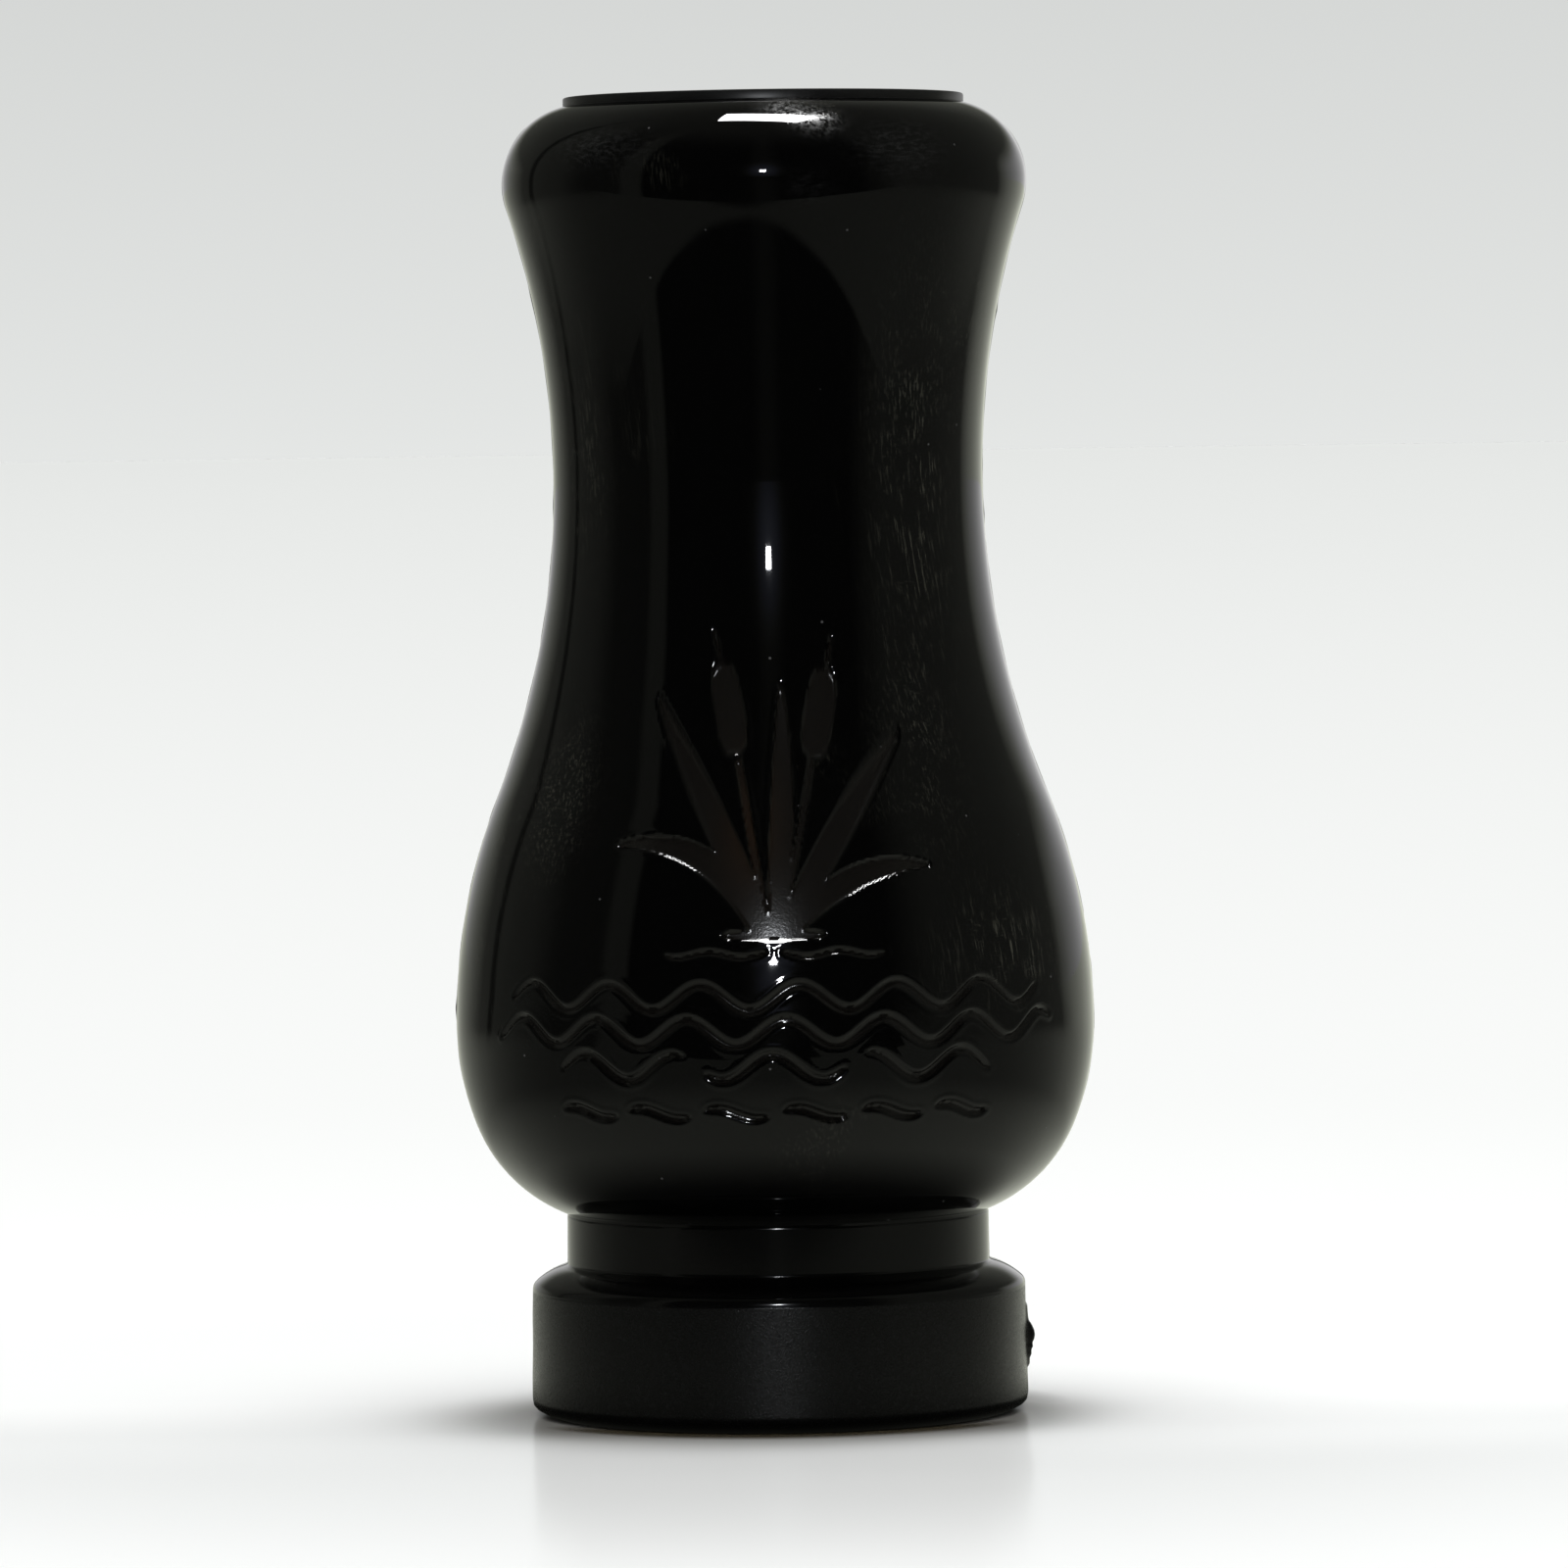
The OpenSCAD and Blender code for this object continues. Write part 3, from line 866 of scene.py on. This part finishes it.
def paper_in_gloss(n, x, y, away):
    """Brightness of the floor as the gloss sees it: dark under the call, ending in front of it."""
    turn = turn_from_front(n, x, y)
    wide = n.math("ABSOLUTE", turn)
    ahead = n.plus(n.times(x, -0.122), n.times(y, -0.993))
    sheet = n.times(n.span(ahead, 0.121, 0.128, 1, 0), n.span(away, 0.15, 0.5, 1, 0))
    far = n.math("POWER", n.span(wide, 75, 172, 0, 1, "LINEAR"), 2.2)
    far = n.plus(0.55, n.times(far, 2.9))
    close = n.span(wide, 70, 165, 1.3, 3.2)
    right = n.times(n.span(turn, -20, 70, 0.0, FLOOR_RIGHT), n.span(turn, 168, 180, 1, 0))
    lit = n.times(n.blend(n.span(away, 0.035, 0.080, 1, 0), far, close), FLOOR_LIGHT, n.plus(1, right))
    lit = n.times(lit, n.span(away, 0.0150, 0.032, 0.05, 1.0))
    return n.blend(sheet, room_profile(n, turn), lit)


def floor_material():
    mat = bpy.data.materials.new("paper_floor")
    mat.use_nodes = True
    mat.node_tree.nodes.clear()
    n = Nodes(mat.node_tree)
    where = n.add("NewGeometry").outputs["Position"]
    x, y, _ = n.axes(where)
    away = n.add("VectorMath", {0: where}, operation="LENGTH").outputs["Value"]
    diffuse = n.add("BsdfDiffuse", {"Color": paper_colour(n, where, x, y, away)}).outputs[0]
    glossy = n.add("BsdfGlossy", {"Color": (0.97, 1.0, 1.0, 1), "Roughness": 0.17}).outputs[0]
    sheen = n.times(n.span(away, 0.045, 0.11, FLOOR_SHEEN, 0.0), n.span(y, -0.012, 0.01, 1, 0.2))
    paper = n.mix_shaders(sheen, diffuse, glossy)
    seen = paper_in_gloss(n, x, y, away)
    glow = n.add("Emission", {"Color": ROOM_COLOUR, "Strength": seen}).outputs[0]
    surface = n.mix_shaders(n.add("LightPath").outputs["Is Glossy Ray"], paper, glow)
    n.put(n.add("OutputMaterial").inputs["Surface"], surface)
    mat.cycles.emission_sampling = "NONE"
    return mat


def floor():
    mesh = bpy.data.meshes.new("floor")
    count = 64
    ring = [(FLOOR_R * math.cos(a), FLOOR_R * math.sin(a), 0)
            for a in np.linspace(0, 2 * math.pi, count, endpoint=False)]
    mesh.from_pydata(ring, [], [list(range(count))])
    obj = bpy.data.objects.new("floor", mesh)
    bpy.context.scene.collection.objects.link(obj)
    mesh.materials.append(floor_material())


def world():
    """A backdrop for the camera, a dim room for the gloss and an even sky for the paper."""
    studio = bpy.data.worlds.new("studio")
    bpy.context.scene.world = studio
    studio.use_nodes = True
    studio.cycles.sampling_method = "NONE"
    studio.node_tree.nodes.clear()
    n = Nodes(studio.node_tree)
    x, y, z = n.axes(n.add("TexCoord").outputs["Generated"])
    up = n.times(n.math("ARCSINE", z), 180 / math.pi)
    turn = turn_from_front(n, x, y)
    drop = n.math("POWER", n.span(up, 0.0, 8.0, 0.0, 1.0, "LINEAR"), 0.85)
    drop = n.mix(drop, BACKDROP_LOW, BACKDROP_HIGH)
    # The room, with the spill of the lamp above the camera.
    room = room_profile(n, turn, n.span(up, 6, 17, 1, 0.16))
    room = n.blend(n.span(up, 35, 75), room, CEILING)
    spill = n.times(n.bell((turn, 0, 6), (up, 8, 8)), SPILL)
    tint = n.mix(n.span(room, 0.15, 0.6), ROOM_COLOUR, grey(1))
    tint = n.mix(n.span(spill, 0.0, 0.1), tint, SPILL_COLOUR)
    # The sky is brightest overhead, so the call throws only a short shadow.
    sky = n.plus(0.2, n.times(n.math("POWER", n.math("MAXIMUM", z, 0), 4), 2.7))
    glossy = n.add("Background", {"Color": tint, "Strength": n.plus(room, spill)}).outputs[0]
    seen = n.add("Background", {"Color": drop, "Strength": 1.0}).outputs[0]
    soft = n.add("Background", {"Color": (1, 1, 0.995, 1), "Strength": sky}).outputs[0]
    ray = n.add("LightPath").outputs
    surface = n.mix_shaders(ray["Is Glossy Ray"], soft, glossy)
    surface = n.mix_shaders(ray["Is Camera Ray"], surface, seen)
    n.put(n.add("OutputWorld").inputs["Surface"], surface)


def aimed(obj, at, aim):
    """Places obj and turns its -Z towards aim."""
    obj.location = at
    obj.rotation_mode = "QUATERNION"
    obj.rotation_quaternion = (Vector(aim) - Vector(at)).to_track_quat("-Z", "Y")
    bpy.context.scene.collection.objects.link(obj)


def area_light(name, at, aim, size, watts, colour):
    data = bpy.data.lights.new(name, "AREA")
    data.shape = "RECTANGLE"
    data.size, data.size_y = size
    data.energy = watts
    data.color = colour
    obj = bpy.data.objects.new(name, data)
    aimed(obj, at, aim)
    obj.visible_camera = False
    obj.visible_diffuse = False


def camera():
    data = bpy.data.cameras.new("camera")
    data.lens = data.sensor_width / 2 / math.tan(math.radians(FIELD_OF_VIEW / 2))
    data.clip_start, data.clip_end = 0.05, 100
    obj = bpy.data.objects.new("camera", data)
    aimed(obj, (CAMERA_ASIDE, -CAMERA_BACK, CAMERA_HIGH), (CAMERA_ASIDE, 0, LOOK_HIGH))
    obj.rotation_quaternion @= Quaternion((0, 0, 1), math.radians(CAMERA_ROLL))
    bpy.context.scene.camera = obj


floor()
world()
area_light("overhead_softbox", at=(0.0095, 0.016, 0.60), aim=(0, -0.014, 0.076),
           size=(0.203, 0.128), watts=4.0, colour=(1, 1, 1))
area_light("camera_flash", at=(-0.004, -0.60, 0.152), aim=(0, 0, 0.04),
           size=(0.026, 0.027), watts=0.44, colour=(0.93, 0.96, 1))
camera()
bpy.context.scene.view_settings.view_transform = "Standard"
